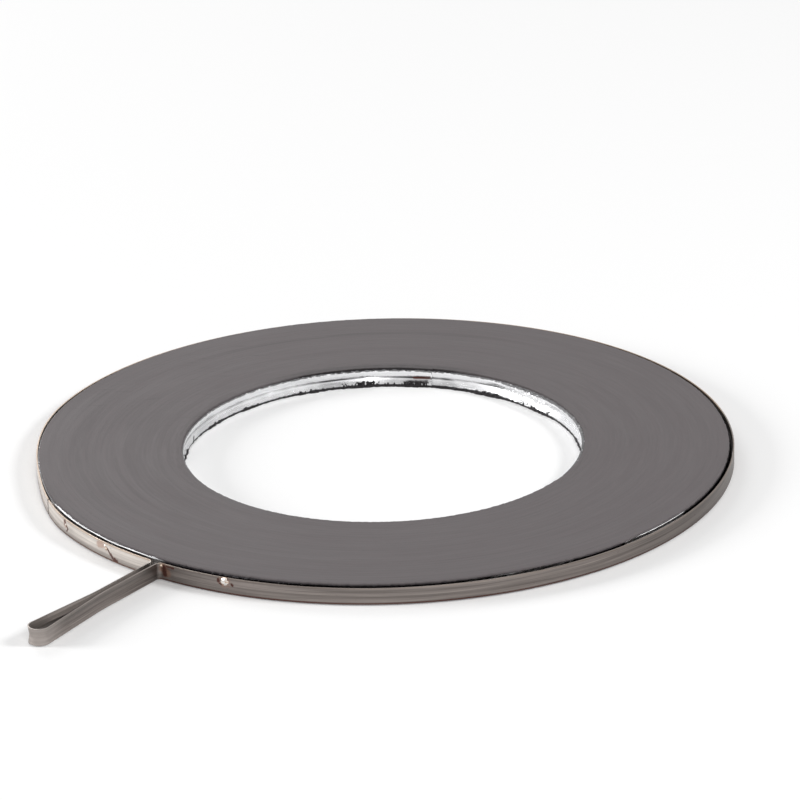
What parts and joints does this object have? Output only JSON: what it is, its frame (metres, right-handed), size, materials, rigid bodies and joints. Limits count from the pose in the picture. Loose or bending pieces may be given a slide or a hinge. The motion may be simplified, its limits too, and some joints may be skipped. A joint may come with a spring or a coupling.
{
  "type": "spiral wound gasket",
  "caption": "Flat ring gasket of folded steel strip wound with graphite filler, with a bent strip handle on its rim.",
  "frame": {"origin": "centre of the ring, on its axis, half way between the two graphite faces", "axes": "+Z along the ring's axis, square to the faces. The handle points away from the axis at about 233 degrees from +X, counter-clockwise seen from +Z"},
  "size_m": [0.1124, 0.1237, 0.0032],
  "materials": {
    "strip_steel": "satin",
    "graphite": "satin"
  },
  "bodies": {
    "root": {"winding_strip": "strip_steel", "filler_strip": "graphite", "handle_strip": "strip_steel"}
  },
  "joints": []
}
